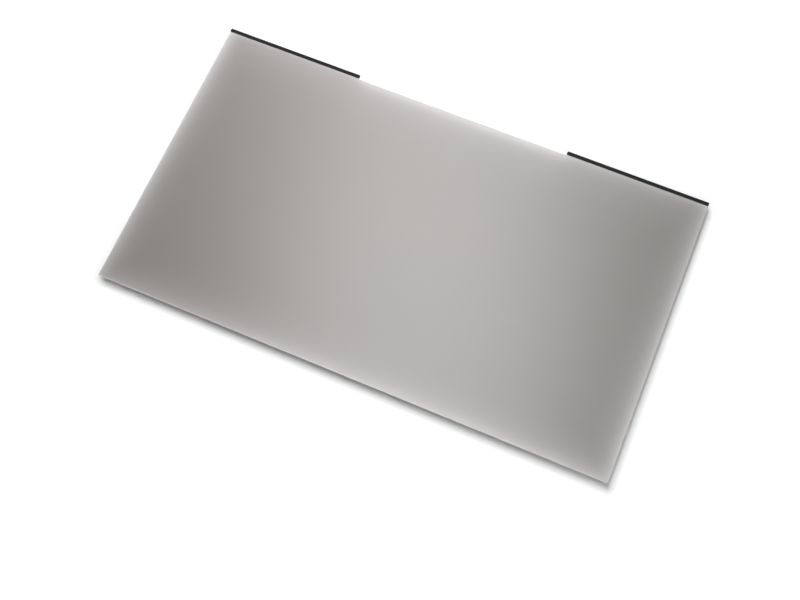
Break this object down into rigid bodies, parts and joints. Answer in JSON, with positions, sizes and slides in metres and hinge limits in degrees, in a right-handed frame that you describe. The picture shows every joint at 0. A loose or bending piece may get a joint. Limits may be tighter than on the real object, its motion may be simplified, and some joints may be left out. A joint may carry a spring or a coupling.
{
  "type": "monitor privacy filter",
  "caption": "Flat rectangular sheet of smoky louvre film with black magnet strips on tabs along its top edge, hung over a display so that it can be read only from the front.",
  "frame": {"origin": "middle of the overall outline, tabs included, on the underside of the sheet", "axes": "+X along the top edge to the right as seen from above, +Y in the plane of the sheet towards the magnet tabs, +Z out of the sheet on the magnets' side; the sheet lies flat"},
  "size_m": [0.531, 0.3034, 0.0019],
  "materials": {
    "film": "smoky see-through louvre film with a fine satin face",
    "magnet": "matt black flexible magnet",
    "tape": "dark double-sided tape"
  },
  "bodies": {
    "root": {"filter_panel": "film", "left_bond_tape": "tape", "left_magnet_strip": "magnet", "right_bond_tape": "tape", "right_magnet_strip": "magnet"}
  },
  "joints": []
}
